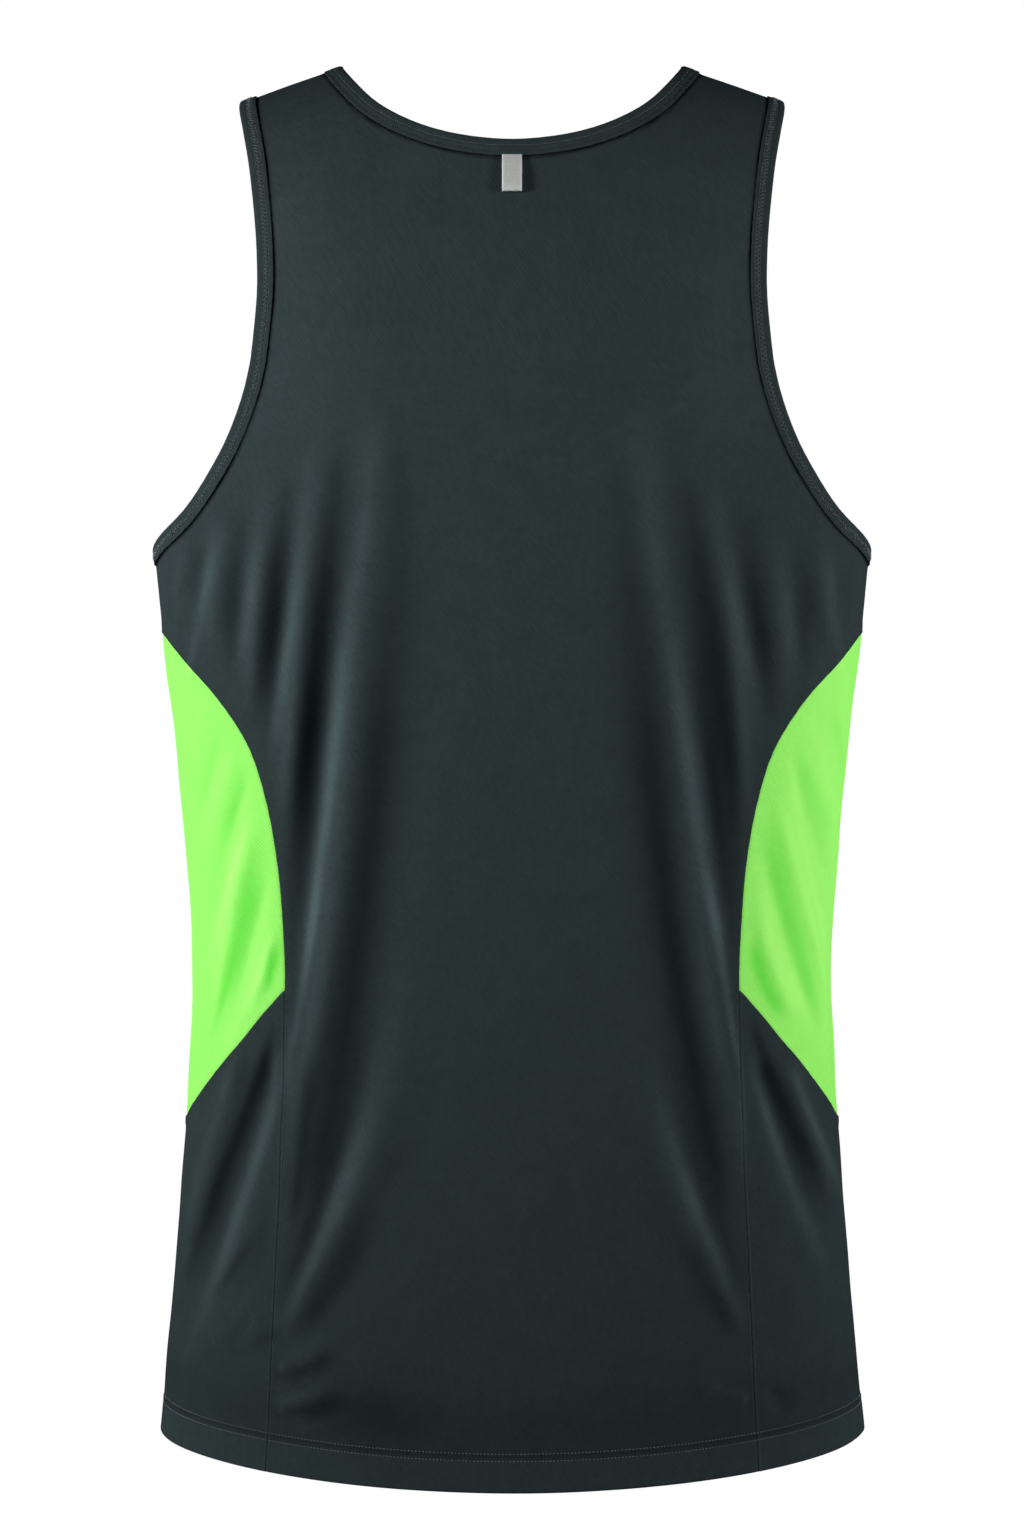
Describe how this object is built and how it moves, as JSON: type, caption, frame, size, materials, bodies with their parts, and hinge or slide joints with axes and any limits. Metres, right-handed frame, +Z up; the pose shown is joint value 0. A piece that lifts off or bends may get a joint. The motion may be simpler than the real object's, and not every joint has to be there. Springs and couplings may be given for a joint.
{
  "type": "athletic singlet",
  "caption": "Sleeveless athletic singlet, filled out as if worn, with wide armholes, a scooped neck, bound edges, contrast waist inserts, a curved hem and a small hanger loop at the back neck.",
  "frame": {"origin": "on the shoulder line, midway between the two straps, where the wearer's shoulders hold the garment", "axes": "+Z up, -Y out of the garment's front, +X towards the garment's own left side"},
  "size_m": [0.3732, 0.2418, 0.7231],
  "materials": {
    "dark_knit": "smooth satin stretch knit",
    "green_knit": "smooth satin stretch knit, neon green",
    "silver_tape": "flat woven tape, silver grey"
  },
  "bodies": {
    "root": {"back_panel": "dark_knit", "front_panel": "dark_knit", "side_insert_left": "green_knit", "side_insert_right": "green_knit", "side_panel_left": "dark_knit", "side_panel_right": "dark_knit", "neck_binding": "dark_knit", "armhole_binding_left": "dark_knit", "armhole_binding_right": "dark_knit", "hanger_loop": "silver_tape"}
  },
  "joints": []
}
